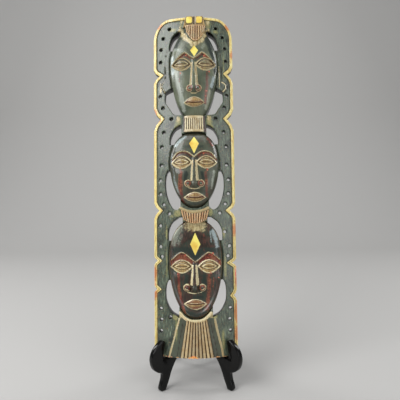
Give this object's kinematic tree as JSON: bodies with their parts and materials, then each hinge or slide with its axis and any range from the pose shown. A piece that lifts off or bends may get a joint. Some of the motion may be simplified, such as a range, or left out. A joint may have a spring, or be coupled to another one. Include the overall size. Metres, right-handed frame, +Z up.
{
  "type": "carved mask wall plaque on a display stand",
  "caption": "Tall carved wooden wall plaque with masks one above the other in an openwork frame with notched edges, leaning in a crossed-panel black stand.",
  "frame": {"origin": "middle of the footprint, on the surface under the stand's feet", "axes": "+Z up, the carved front faces -Y and leans back, +X to the viewer's right"},
  "size_m": [0.13, 0.12, 0.5424],
  "materials": {
    "painted_wood": "satin paint over carved wood, gold and cream details, worn",
    "black_lacquer": "high gloss"
  },
  "bodies": {
    "root": {"plaque": "painted_wood", "easel_side_left": "black_lacquer", "easel_side_right": "black_lacquer"}
  },
  "joints": []
}
